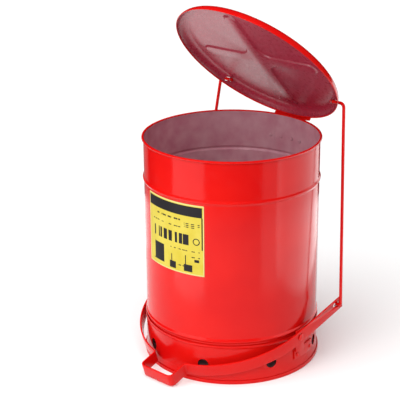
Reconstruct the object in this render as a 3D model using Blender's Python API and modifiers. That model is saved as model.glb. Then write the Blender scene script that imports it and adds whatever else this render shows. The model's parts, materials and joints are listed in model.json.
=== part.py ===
"""Foot-operated steel waste bin with a self-closing lid, in metres, +Z up.

The bin stands on Z = 0 with its pedal towards -Y and its lid hinge towards +Y. It is modelled as it
stands with the pedal held down and the lid open. The drum is built round the Z axis, lid pieces are
modelled shut and turned open about the hinge, and the whole bin is then slid along Y until the
origin is at the middle of its footprint box.
"""
import math

import bmesh
import bpy
from mathutils import Matrix, Vector

# ---------------------------------------------------------------- driving dimensions
SEGMENTS = 48                     # facets round every piece that shares the drum's axis
BAR_ROLL = math.radians(3.0)      # how far the sides of a round bar are turned off the axes
JOIN_INSET = 0.0003               # how far joined blocks stop short of each other's faces
CLEAR = 0.0004                    # gap between pieces that rest on each other

DRUM_RADIUS = 0.172               # outside of the drum wall
DRUM_WALL = 0.001
RIM_HEIGHT = 0.452                # top of the rolled rim
RIM_ROLL = 0.0025                 # radius of the rolled rim
DRUM_FOOT = 0.056                 # lower edge of the drum wall
BEAD_OUT = 0.0025                 # how far the swaged beads stand out
BEAD_HALF = 0.006                 # half the height of a bead
UPPER_BEAD_DROP = 0.082           # from the rim down to the upper bead
LOWER_BEAD_HEIGHT = 0.089

FLOOR_HEIGHT = 0.064              # inside floor of the drum
FLOOR_FLANGE = 0.0075             # turned-down edge of the floor pan
FLOOR_CORNER = 0.003

SKIRT_TOP = 0.0805
SKIRT_WALL = 0.001
SKIRT_STEP = 0.0006               # room between the drum wall and the skirt
SKIRT_HEM_OUT = 0.0013            # round hem along the skirt's upper edge
SKIRT_FLARE = 0.0018              # how far the skirt's lower edge spreads
SKIRT_FLARE_HEIGHT = 0.026
SKIRT_FOOT = 0.0030
VENT_RADIUS = 0.011
VENT_HEIGHT = 0.037
VENT_COUNT = 8

RING_WALL = 0.0017                # base ring: a channel that holds the skirt's edge
RING_FLOOR = 0.0022
RING_OUTER_HEIGHT = 0.0075
RING_INNER_HEIGHT = 0.0060
RING_LEDGE = 0.0010               # extra width of the channel's foot inside the skirt

LID_OVERHANG = 0.006              # the lid's edge beyond the drum wall
LID_WALL = 0.001
LID_CORNER = 0.021                # outside radius of the lid's rounded edge
LID_LIP_DROP = 0.006              # from the rim down to the lid's lip, shut
LID_REST = 0.0004                 # gap between the shut lid and the rolled rim
RIB_WIDTH = 0.030
RIB_END_GAP = 0.039               # from the lid's edge to the end of a rib
RIB_DEPTH = 0.0035
OPEN_ANGLE = math.radians(46.0)

HINGE_STAND_OFF = 0.0138          # hinge axis behind the drum wall
HINGE_DROP = 0.026                # hinge axis below the rim
HINGE_WIDTH = 0.100
KNUCKLE_RADIUS = 0.005
KNUCKLE_COUNT = 5
KNUCKLE_GAP = 0.0005
HINGE_PIN_RADIUS = 0.0025
HINGE_PIN_PLAY = 0.0003
HINGE_PLATE = 0.002
HINGE_PLATE_HEIGHT = 0.028        # body leaf, below its shelf
HINGE_TOP_REACH = 0.033           # lid leaf, from the lid's edge inwards over its top
HINGE_LEAF_TAIL = 0.0022          # lid leaf, below the start of the lid's rounded edge

RIVET_SHANK = 0.0023
RIVET_HOLE = 0.0027
RIVET_HEAD = 0.0045
RIVET_HEAD_HEIGHT = 0.0018

STRAP_WIDTH = 0.0254              # flat bar of the foot lever
STRAP_THICK = 0.0032
STRAP_GAP = 0.0125                # from the drum wall to the middle of the lever's bow, in plan
PIVOT_Y = -0.0086
PIVOT_HEIGHT = 0.0775
PEDAL_OUT = 0.037                 # the pedal's crossbar in front of the bow, in plan
PEDAL_HEIGHT = 0.0145             # middle of the crossbar above the floor, pedal down
PEDAL_HALF_WIDTH = 0.0395
PEDAL_BEND = 0.009                # bend radius of the pedal's outer corners
LEVER_ROOT_BEND = 0.006           # bend radius where the pedal legs meet the bow
ARM_TAIL = 0.011                  # from the link's place to the rear end of an arm
ARM_SPLAY = 0.0065                # how far an arm's rear end spreads sideways
EYE_SHARE = 0.68                  # link's place behind the pivot, as a share of the drum's radius
EYE_TRAVEL = 0.0108               # forward play of the link in the arm's slot
EYE_HALF = 0.0050                 # half the height of that slot
EYE_LIFT = 0.0010                 # slot centre above the line of the link's end

PIVOT_PIN_RADIUS = 0.004
PIVOT_PIN_PLAY = 0.0004
PIVOT_HEAD_RADIUS = 0.0072
PIVOT_HEAD_THICK = 0.0028
BRACKET_THICK = 0.0024
BRACKET_HALF_WIDTH = 0.013
BRACKET_TOP = 0.013               # top of the bracket above the pivot
BRACKET_SHELF = 0.045             # height of the bracket's step
BRACKET_FOOT_LOW = 0.0275
BRACKET_FOOT_HIGH = 0.0495
BRACKET_FOOT_ANGLE = math.radians(20.0)
BRACKET_FOOT_START = math.radians(-4.5)
WASHER_THICK = 0.0010
LEVER_PLAY = 0.0009               # between a washer and the bow, which curves away from it

ROD_RADIUS = 0.0032
ROD_BEND = 0.009
ROD_TOP_OUT = 0.0165              # from the link hole out to the rod's upper bend
ROD_STAND_OFF = 0.0030            # between an arm's outer face and the rod
TOP_CLIP_SEAT = 0.0020            # between a top clip and the lid's slanting wall
ROD_TAIL_PAST = 0.0040            # how far a rod's end runs past its clip's near face
HOOK_ANGLE = math.radians(55.0)   # place of the link hole round the lid, from the hinge
HOOK_SHARE = 0.4012               # link hole's height, from the rim to the lid's underside
HOOK_HOLE = 0.0043
CLIP_RADIUS = 0.0046
CLIP_THICK = 0.0012
CLIP_BORE_PLAY = 0.0003
CLIP_GAP = 0.0015                 # between an arm's inner face and its clip

LABEL_HALF_ANGLE = math.radians(23.8)
LABEL_TALL = 0.1415
LABEL_DROP = 0.0075               # from the upper bead's middle down to the label
LABEL_THICK = 0.0004

# ---------------------------------------------------------------- places that follow from them
DRUM_INSIDE = DRUM_RADIUS - DRUM_WALL
ROLL_CENTRE_R = DRUM_INSIDE + 0.8 * RIM_ROLL
ROLL_CENTRE_Z = RIM_HEIGHT - RIM_ROLL
UPPER_BEAD_HEIGHT = RIM_HEIGHT - UPPER_BEAD_DROP
SKIRT_RADIUS = DRUM_RADIUS + SKIRT_STEP + SKIRT_WALL

LABEL_HIGH = UPPER_BEAD_HEIGHT - LABEL_DROP
LABEL_LOW = LABEL_HIGH - LABEL_TALL

LID_RADIUS = DRUM_RADIUS + LID_OVERHANG
RIB_REACH = LID_RADIUS - RIB_END_GAP
LID_CORNER_R = LID_RADIUS - LID_CORNER
LID_CORNER_Z = ROLL_CENTRE_Z - math.sqrt(
    (LID_CORNER - LID_WALL - RIM_ROLL - LID_REST) ** 2 - (ROLL_CENTRE_R - LID_CORNER_R) ** 2)
LID_TOP = LID_CORNER_Z + LID_CORNER
LID_LIP = RIM_HEIGHT - LID_LIP_DROP

HINGE_Y = DRUM_RADIUS + HINGE_STAND_OFF
HINGE_Z = RIM_HEIGHT - HINGE_DROP
SHELF_TOP = HINGE_Z - KNUCKLE_RADIUS - KNUCKLE_GAP

HOOK_Z = RIM_HEIGHT + HOOK_SHARE * (LID_TOP - LID_WALL - RIM_HEIGHT)
HOOK_WALL_R = LID_CORNER_R + math.sqrt((LID_CORNER - LID_WALL / 2) ** 2 - (HOOK_Z - LID_CORNER_Z) ** 2)
HOOK_X = HOOK_WALL_R * math.sin(HOOK_ANGLE)
HOOK_Y = HOOK_WALL_R * math.cos(HOOK_ANGLE)

ROD_TOP_X = HOOK_X + ROD_TOP_OUT

STRAP_RADIUS = DRUM_RADIUS + STRAP_GAP
LEVER_SLOPE = math.atan2(PIVOT_HEIGHT - PEDAL_HEIGHT, STRAP_RADIUS + PIVOT_Y + PEDAL_OUT)
BOW_CENTRE_U = -PIVOT_Y / math.cos(LEVER_SLOPE)
BOW_HALF_LENGTH = STRAP_RADIUS / math.cos(LEVER_SLOPE)
PEDAL_REACH = BOW_HALF_LENGTH - BOW_CENTRE_U + PEDAL_OUT / math.cos(LEVER_SLOPE)
EYE_REACH = EYE_SHARE * DRUM_RADIUS
ARM_REACH = EYE_REACH + ARM_TAIL

collections = {}


def turn_x(point, centre, angle):
    """A point turned about an axis along X through centre."""
    return Matrix.Rotation(angle, 3, "X") @ (Vector(point) - Vector(centre)) + Vector(centre)


HINGE = Vector((0.0, HINGE_Y, HINGE_Z))
PIVOT = Vector((0.0, PIVOT_Y, PIVOT_HEIGHT))
HOOK_OPEN = turn_x((0.0, HOOK_Y, HOOK_Z), HINGE, -OPEN_ANGLE)
EYE = turn_x((0.0, PIVOT_Y + EYE_REACH, PIVOT_HEIGHT), PIVOT, LEVER_SLOPE)


# ---------------------------------------------------------------- tools
def clear_scene():
    for obj in list(bpy.data.objects):
        bpy.data.objects.remove(obj, do_unlink=True)


def make_collection(key, name):
    collections[key] = bpy.data.collections.new(name)
    bpy.context.scene.collection.children.link(collections[key])


def make_material(name, colour, roughness, metallic):
    mat = bpy.data.materials.new(name)
    mat.use_nodes = True
    shader = mat.node_tree.nodes["Principled BSDF"]
    shader.inputs["Base Color"].default_value = (*colour, 1.0)
    shader.inputs["Roughness"].default_value = roughness
    shader.inputs["Metallic"].default_value = metallic
    mat.diffuse_color = (*colour, 1.0)
    return mat


def new_object(name, mesh, mat, parent, as_cutter=False):
    obj = bpy.data.objects.new(name, mesh)
    collections["cutters" if as_cutter else "parts"].objects.link(obj)
    if mat is not None:
        mesh.materials.append(mat)
    if as_cutter:
        obj.hide_render = True
        obj.display_type = "WIRE"
    attach(obj, parent)
    return obj


def attach(obj, parent):
    """Parent obj so that it is modelled in the bin's own coordinates, before the parent turns."""
    obj.parent = parent
    if parent is not None and "modelled_at" in parent:
        obj.location = -Vector(parent["modelled_at"])


def turned(name, profile, mat, parent, wall=0.0, outward=False, closed=False, sweep=math.tau,
           start=0.0, steps=SEGMENTS, as_cutter=False):
    """Revolve (radius, z) points about Z. With a wall the profile is an open sheet."""
    mesh = bpy.data.meshes.new(name)
    edges = [(i, i + 1) for i in range(len(profile) - 1)]
    if closed:
        edges.append((len(profile) - 1, 0))
    mesh.from_pydata([(r, 0.0, z) for r, z in profile], edges, [])
    obj = new_object(name, mesh, mat, parent, as_cutter)
    screw = obj.modifiers.new("Turn", "SCREW")
    screw.axis = "Z"
    screw.angle = sweep
    screw.steps = steps
    screw.render_steps = steps
    screw.use_merge_vertices = True
    screw.merge_threshold = 0.00001
    obj.rotation_euler.z = start
    if wall:
        sheet = obj.modifiers.new("Sheet", "SOLIDIFY")
        sheet.thickness = wall
        sheet.offset = 1.0 if outward else -1.0
        sheet.use_even_offset = True
    return obj


def arc(centre_r, centre_z, radius, first, last, count):
    """Points (radius, z) on an arc; angles in degrees, from +R towards +Z."""
    angles = [math.radians(first + (last - first) * i / (count - 1)) for i in range(count)]
    return [(centre_r + radius * math.cos(a), centre_z + radius * math.sin(a)) for a in angles]


def box(name, low, high, mat, parent, as_cutter=False):
    mesh = bpy.data.meshes.new(name)
    bm = bmesh.new()
    bmesh.ops.create_cube(bm, size=1.0)
    size = [b - a for a, b in zip(low, high)]
    middle = [(a + b) / 2 for a, b in zip(low, high)]
    bmesh.ops.scale(bm, vec=size, verts=bm.verts)
    bmesh.ops.translate(bm, vec=middle, verts=bm.verts)
    bm.to_mesh(mesh)
    bm.free()
    return new_object(name, mesh, mat, parent, as_cutter)


def bar(name, radius, first, last, mat, parent, sides=24, stretch=(0.0, 0.0, 0.0), as_cutter=False):
    """A round bar from first to last. stretch pulls its far side out into a slot shape.

    Its sides start a little off the axes, so that none lies along a facet of a piece it cuts.
    """
    first = Vector(first)
    last = Vector(last)
    run = last - first
    turn = run.to_track_quat("Z", "Y").to_matrix().to_4x4()
    mesh = bpy.data.meshes.new(name)
    bm = bmesh.new()
    place = Matrix.Translation((first + last) / 2) @ turn @ Matrix.Rotation(BAR_ROLL, 4, "Z")
    bmesh.ops.create_cone(bm, cap_ends=True, segments=sides, radius1=radius, radius2=radius,
                          depth=run.length, matrix=place)
    pull = Vector(stretch)
    if pull.length > 0.0:
        middle = (first + last) / 2
        along = pull.normalized()
        for vert in bm.verts:
            side = (vert.co - middle).dot(along)
            vert.co += pull if side > 0.0 else Vector()
    bm.to_mesh(mesh)
    bm.free()
    return new_object(name, mesh, mat, parent, as_cutter)


def boolean(obj, other, operation="DIFFERENCE"):
    mod = obj.modifiers.new(other.name, "BOOLEAN")
    mod.operation = operation
    mod.object = other
    mod.solver = "EXACT"


def shade_round(obj):
    obj.data.shade_smooth()
    obj.data.set_sharp_from_angle(angle=math.radians(35.0))


def radial(angle, radius, z):
    """A point at an angle from +X, measured towards +Y."""
    return Vector((radius * math.cos(angle), radius * math.sin(angle), z))


def fastener(name, shank, head, head_height, inner_head, grip, place, out, mat, parent, sides=10):
    """A headed pin: head outside place, along out, shank inwards for grip, small head behind it."""
    tail = 0.6 * head_height
    profile = [(0.0, head_height), (0.75 * head, 0.7 * head_height), (head, 0.0), (shank, 0.0),
               (shank, -grip), (inner_head, -grip), (0.7 * inner_head, -grip - tail),
               (0.0, -grip - tail)]
    obj = turned(name, profile, mat, parent, steps=sides)
    obj.rotation_mode = "QUATERNION"
    obj.rotation_quaternion = Vector(out).to_track_quat("Z", "Y")
    obj.location = obj.location + Vector(place)
    return obj


def rounded(points, radii, count=4):
    """A polyline with its inner corners replaced by arcs; radii has one value for each of them."""
    points = [Vector(p) for p in points]
    out = [points[0]]
    for before, corner, after, radius in zip(points, points[1:], points[2:], radii):
        to_before = (before - corner).normalized()
        to_after = (after - corner).normalized()
        half = to_before.angle(to_after) / 2
        reach = radius / math.tan(half)
        centre = corner + (to_before + to_after).normalized() * (radius / math.sin(half))
        first = (corner + to_before * reach - centre).normalized()
        last = (corner + to_after * reach - centre).normalized()
        out += [centre + first.slerp(last, i / (count - 1)) * radius for i in range(count)]
    out.append(points[-1])
    return out


def tube(name, points, radius, mat, parent, rings=2):
    """A round rod along points, with flat ends."""
    curve = bpy.data.curves.new(name, "CURVE")
    curve.dimensions = "3D"
    curve.bevel_depth = radius
    curve.bevel_resolution = rings
    curve.use_fill_caps = True
    spline = curve.splines.new("POLY")
    spline.points.add(len(points) - 1)
    for target, point in zip(spline.points, points):
        target.co = (*point, 1.0)
    source = bpy.data.objects.new(name + "_curve", curve)
    collections["parts"].objects.link(source)
    bpy.context.view_layer.update()
    shape = source.evaluated_get(bpy.context.evaluated_depsgraph_get())
    mesh = bpy.data.meshes.new_from_object(shape)
    bm = bmesh.new()
    bm.from_mesh(mesh)
    bmesh.ops.remove_doubles(bm, verts=bm.verts, dist=0.00001)
    bm.to_mesh(mesh)
    bm.free()
    mesh.materials.clear()
    bpy.data.objects.remove(source, do_unlink=True)
    mesh.name = name
    return new_object(name, mesh, mat, parent)


def axis_empty(name, place, turn_angle, parent):
    """An empty on a joint's axis; its children are modelled before it turns."""
    empty = bpy.data.objects.new(name, None)
    collections["parts"].objects.link(empty)
    empty.parent = parent
    empty.location = place
    empty.rotation_euler.x = turn_angle
    empty["modelled_at"] = list(place)
    return empty


# ---------------------------------------------------------------- drum and base
def bead(height, radius):
    """Points up over a swaged bead on a wall of the given radius."""
    shape = ((-1.0, 0.0), (-0.55, 0.45), (0.0, 1.0), (0.55, 0.45), (1.0, 0.0))
    return [(radius + out * BEAD_OUT, height + up * BEAD_HALF) for up, out in shape]


def drum(mats, root):
    """The drum wall follows its inner face up, over the rolled rim and round to the roll's edge."""
    profile = [(DRUM_INSIDE, DRUM_FOOT)]
    profile += bead(LOWER_BEAD_HEIGHT, DRUM_INSIDE)
    profile += bead(UPPER_BEAD_HEIGHT, DRUM_INSIDE)
    profile += [(DRUM_INSIDE, ROLL_CENTRE_Z - 1.6 * RIM_ROLL)]
    profile += arc(ROLL_CENTRE_R, ROLL_CENTRE_Z, RIM_ROLL, 180.0, -80.0, 7)
    shell = turned("drum_shell", profile, mats["red_enamel"], root, wall=DRUM_WALL)
    pan_radius = DRUM_INSIDE - CLEAR
    pan = [(0.0, FLOOR_HEIGHT)]
    pan += arc(pan_radius - FLOOR_CORNER, FLOOR_HEIGHT - FLOOR_CORNER, FLOOR_CORNER, 90.0, 0.0, 4)
    pan += [(pan_radius, FLOOR_HEIGHT - FLOOR_FLANGE)]
    turned("floor_pan", pan, mats["galvanised"], root, wall=DRUM_WALL)
    return shell


def skirt(mats, root):
    hem = SKIRT_RADIUS + SKIRT_HEM_OUT
    flared = SKIRT_RADIUS + SKIRT_FLARE
    profile = [(SKIRT_RADIUS, SKIRT_TOP), (hem, SKIRT_TOP - 0.0018), (hem, SKIRT_TOP - 0.0038),
               (SKIRT_RADIUS, SKIRT_TOP - 0.0060), (SKIRT_RADIUS, SKIRT_FLARE_HEIGHT),
               (SKIRT_RADIUS + 0.35 * SKIRT_FLARE, 0.65 * SKIRT_FLARE_HEIGHT),
               (flared, RING_OUTER_HEIGHT + 0.001), (flared, SKIRT_FOOT)]
    wall = turned("base_skirt", profile, mats["red_enamel"], root, wall=SKIRT_WALL)
    for i in range(VENT_COUNT):
        angle = math.tau * (i + 0.5) / VENT_COUNT
        vent = bar("vent_cutter_%d" % (i + 1), VENT_RADIUS,
                   radial(angle, DRUM_RADIUS - 0.010, VENT_HEIGHT),
                   radial(angle, SKIRT_RADIUS + 0.010, VENT_HEIGHT), None, root, 22, as_cutter=True)
        boolean(wall, vent)
    outer = flared + CLEAR + RING_WALL
    inner = flared - SKIRT_WALL - CLEAR - RING_WALL
    ease = 0.0005
    ring = [(flared + CLEAR, RING_OUTER_HEIGHT), (outer - ease, RING_OUTER_HEIGHT),
            (outer, RING_OUTER_HEIGHT - ease), (outer, ease), (outer - ease, 0.0),
            (inner - RING_LEDGE, 0.0), (inner - RING_LEDGE, RING_FLOOR),
            (inner, RING_FLOOR + ease), (inner, RING_INNER_HEIGHT),
            (flared - SKIRT_WALL - CLEAR, RING_INNER_HEIGHT),
            (flared - SKIRT_WALL - CLEAR, SKIRT_FOOT - CLEAR), (flared + CLEAR, SKIRT_FOOT - CLEAR)]
    turned("base_ring", ring, mats["red_enamel"], root, closed=True)
    return wall


def label(mats, root):
    inner = DRUM_RADIUS + CLEAR
    turned("label_plate", [(inner, LABEL_HIGH), (inner, LABEL_LOW)], mats["label_yellow"], root,
           wall=LABEL_THICK, outward=True, sweep=2 * LABEL_HALF_ANGLE,
           start=-math.pi / 2 - LABEL_HALF_ANGLE, steps=8)


# ---------------------------------------------------------------- hinge
def knuckle_spans():
    """(low x, high x) of each hinge knuckle, from -X to +X; body and lid take turns."""
    pitch = HINGE_WIDTH / KNUCKLE_COUNT
    start = -HINGE_WIDTH / 2
    half_gap = KNUCKLE_GAP / 2
    return [(start + i * pitch + half_gap, start + (i + 1) * pitch - half_gap)
            for i in range(KNUCKLE_COUNT)]


def knuckle(leaf, name, span, low, high, parent):
    """Join one knuckle and the block that carries it to a hinge leaf."""
    barrel = bar(name + "_barrel", KNUCKLE_RADIUS, (span[0], HINGE_Y, HINGE_Z),
                 (span[1], HINGE_Y, HINGE_Z), None, parent, as_cutter=True)
    block = box(name + "_block", (span[0] + JOIN_INSET, low[0], low[1]),
                (span[1] - JOIN_INSET, high[0], high[1]), None, parent, as_cutter=True)
    boolean(leaf, block, "UNION")
    boolean(leaf, barrel, "UNION")


def pin_bore(leaf, name, parent):
    half = HINGE_WIDTH / 2 + 0.010
    bore = bar(name, HINGE_PIN_RADIUS + HINGE_PIN_PLAY, (-half, HINGE_Y, HINGE_Z),
               (half, HINGE_Y, HINGE_Z), None, parent, as_cutter=True)
    boolean(leaf, bore)


def rivet_through(name, pieces, place, out, grip, mats, parent):
    """A rivet with its holes; place is under the outer head."""
    place = Vector(place)
    out = Vector(out).normalized()
    fastener(name, RIVET_SHANK, RIVET_HEAD, RIVET_HEAD_HEIGHT, RIVET_HEAD * 0.85, grip, place, out,
             mats["red_enamel"], parent)
    hole = bar(name + "_hole", RIVET_HOLE, place - out * (grip + 0.003), place + out * 0.003,
               None, parent, 14, as_cutter=True)
    for piece in pieces:
        boolean(piece, hole)


def body_hinge(shell, mats, root):
    half_angle = math.asin(HINGE_WIDTH / 2 / DRUM_RADIUS)
    inner = DRUM_RADIUS + CLEAR
    shelf_low = SHELF_TOP - HINGE_PLATE
    leaf = turned("hinge_body_leaf",
                  [(inner, SHELF_TOP - 0.0003), (inner, shelf_low - HINGE_PLATE_HEIGHT)],
                  mats["red_enamel"], root, wall=HINGE_PLATE, outward=True, sweep=2 * half_angle,
                  start=math.pi / 2 - half_angle, steps=8)
    shelf = box("hinge_shelf", (-HINGE_WIDTH / 2 + 0.001, DRUM_RADIUS * 0.8, shelf_low),
                (HINGE_WIDTH / 2 - 0.001, HINGE_Y + KNUCKLE_RADIUS * 0.6, SHELF_TOP),
                None, root, as_cutter=True)
    drum_room = bar("hinge_shelf_room", inner + HINGE_PLATE / 2, (0, 0, shelf_low - 0.01),
                    (0, 0, SHELF_TOP + 0.01), None, root, SEGMENTS * 2, as_cutter=True)
    boolean(shelf, drum_room)
    boolean(leaf, shelf, "UNION")
    for i, span in enumerate(knuckle_spans()):
        if i % 2 == 0:
            knuckle(leaf, "hinge_body_knuckle_%d" % (i + 1), span,
                    (HINGE_Y - 0.0042, SHELF_TOP - HINGE_PLATE / 2), (HINGE_Y + 0.0028, HINGE_Z),
                    root)
    pin_bore(leaf, "hinge_body_bore", root)
    grip = DRUM_WALL + 2 * CLEAR + HINGE_PLATE + 0.0007
    for i, share in enumerate((-0.75, -0.28, 0.28, 0.75)):
        angle = math.pi / 2 - share * half_angle
        rivet_through("hinge_body_rivet_%d" % (i + 1), (shell, leaf),
                      radial(angle, inner + HINGE_PLATE + 0.0003, shelf_low - HINGE_PLATE_HEIGHT / 2),
                      radial(angle, 1.0, 0.0), grip, mats, root)
    half = HINGE_WIDTH / 2 + KNUCKLE_GAP
    fastener("hinge_pin", HINGE_PIN_RADIUS, HINGE_PIN_RADIUS * 1.7, 0.0016, HINGE_PIN_RADIUS * 1.7,
             2 * half, (half, HINGE_Y, HINGE_Z), (1.0, 0.0, 0.0), mats["zinc_steel"], root, 20)
    return leaf


def lid(mats, hinge_axis):
    """The lid pan: flat top, large rounded edge, pressed-in cross ribs, two link holes."""
    lip_angle = math.degrees(math.asin((LID_LIP - LID_CORNER_Z) / LID_CORNER))
    profile = [(0.0, LID_TOP)]
    profile += arc(LID_CORNER_R, LID_CORNER_Z, LID_CORNER, 90.0, lip_angle, 8)
    pan = turned("lid_pan", profile, mats["red_enamel"], hinge_axis, wall=LID_WALL)
    under = LID_TOP - RIB_DEPTH - LID_WALL
    for operation, half_width, low, high in (
            ("UNION", RIB_WIDTH / 2, under, LID_TOP - LID_WALL / 2),
            ("DIFFERENCE", RIB_WIDTH / 2 - LID_WALL, under + LID_WALL, LID_TOP + 0.010)):
        for name, direction in (("across", Vector((1, 0, 0))), ("along", Vector((0, 1, 0)))):
            start = -direction * (RIB_REACH - RIB_WIDTH / 2)
            rib = bar("lid_rib_%s_%s" % (name, operation.lower()), half_width,
                      start + Vector((0, 0, low)), start + Vector((0, 0, high)), None, hinge_axis,
                      20, stretch=-2 * start, as_cutter=True)
            boolean(pan, rib, operation)
    for side, letter in ((1, "right"), (-1, "left")):
        hole = bar("link_hole_" + letter, HOOK_HOLE, (side * (HOOK_X - 0.012), HOOK_Y, HOOK_Z),
                   (side * (HOOK_X + 0.012), HOOK_Y, HOOK_Z), None, hinge_axis, 16, as_cutter=True)
        boolean(pan, hole)
    return pan


def lid_hinge(pan, mats, hinge_axis):
    """The lid's hinge leaf lies over the rounded edge, on the outside."""
    top = LID_TOP + CLEAR
    corner = LID_CORNER + CLEAR
    half_angle = math.asin(HINGE_WIDTH * 0.45 / LID_RADIUS)
    profile = [(LID_RADIUS - HINGE_TOP_REACH, top)]
    profile += arc(LID_CORNER_R, LID_CORNER_Z, corner, 90.0, 0.0, 6)
    profile += [(LID_CORNER_R + corner, LID_CORNER_Z - HINGE_LEAF_TAIL)]
    leaf = turned("hinge_lid_leaf", profile, mats["red_enamel"], hinge_axis, wall=HINGE_PLATE,
                  outward=True, sweep=2 * half_angle, start=math.pi / 2 - half_angle, steps=6)
    arm_inner = LID_RADIUS - 0.0010
    arm_outer = LID_RADIUS + 2.2 * HINGE_PLATE
    for i, span in enumerate(knuckle_spans()):
        if i % 2 == 1:
            knuckle(leaf, "hinge_lid_knuckle_%d" % (i + 1), span, (arm_inner, HINGE_Z),
                    (arm_outer, LID_LIP - CLEAR), hinge_axis)
    pin_bore(leaf, "hinge_lid_bore", hinge_axis)
    rivet_radius = LID_RADIUS - HINGE_TOP_REACH + 0.006
    grip = LID_WALL + 2 * CLEAR + HINGE_PLATE + 0.0003
    for i, share in enumerate((-0.78, -0.28, 0.28, 0.78)):
        angle = math.pi / 2 - share * half_angle
        rivet_through("hinge_lid_rivet_%d" % (i + 1), (pan, leaf),
                      radial(angle, rivet_radius, top + HINGE_PLATE + 0.0003), (0, 0, 1), grip, mats,
                      hinge_axis)


# ---------------------------------------------------------------- foot lever
def lever_path():
    """Centre line of the flat bar in the lever's own plane, right arm to left arm, as (x, u)."""
    leg_angle = math.asin(PEDAL_HALF_WIDTH / STRAP_RADIUS)
    leg_u = BOW_CENTRE_U - BOW_HALF_LENGTH * math.cos(leg_angle)
    count = 14
    bow = []
    for i in range(count):
        angle = math.pi / 2 + (leg_angle - math.pi / 2) * i / count
        bow.append((STRAP_RADIUS * math.sin(angle), BOW_CENTRE_U - BOW_HALF_LENGTH * math.cos(angle)))
    corner_points = [bow[-1], (PEDAL_HALF_WIDTH, leg_u), (PEDAL_HALF_WIDTH, -PEDAL_REACH),
                     (0.0, -PEDAL_REACH)]
    corners = rounded([(x, u, 0.0) for x, u in corner_points], (LEVER_ROOT_BEND, PEDAL_BEND))
    half = [(STRAP_RADIUS + ARM_SPLAY, ARM_REACH)] + bow[:-1] + [(p.x, p.y) for p in corners[:-1]]
    return half + [(-x, u) for x, u in reversed(half)]


def foot_lever(mats, lever_axis):
    """One flat bar bent into two arms, a bow round the drum's front and the pedal loop."""
    path = lever_path()
    low = PIVOT_HEIGHT - STRAP_WIDTH / 2
    mesh = bpy.data.meshes.new("foot_lever")
    bm = bmesh.new()
    line = [bm.verts.new((x, PIVOT_Y + u, low)) for x, u in path]
    edges = [bm.edges.new(pair) for pair in zip(line, line[1:])]
    grown = bmesh.ops.extrude_edge_only(bm, edges=edges)["geom"]
    bmesh.ops.translate(bm, vec=(0.0, 0.0, STRAP_WIDTH),
                        verts=[v for v in grown if isinstance(v, bmesh.types.BMVert)])
    bmesh.ops.recalc_face_normals(bm, faces=bm.faces)
    bm.to_mesh(mesh)
    bm.free()
    lever = new_object("foot_lever", mesh, mats["red_enamel"], lever_axis)
    sheet = lever.modifiers.new("Thickness", "SOLIDIFY")
    sheet.thickness = STRAP_THICK
    sheet.offset = 0.0
    sheet.use_even_offset = True
    return lever


def arm_x(reach):
    """Middle of an arm's bar, from the drum's axis plane, at a distance behind the pivot."""
    share = (reach - BOW_CENTRE_U) / (ARM_REACH - BOW_CENTRE_U)
    return STRAP_RADIUS + ARM_SPLAY * max(share, 0.0)


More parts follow.
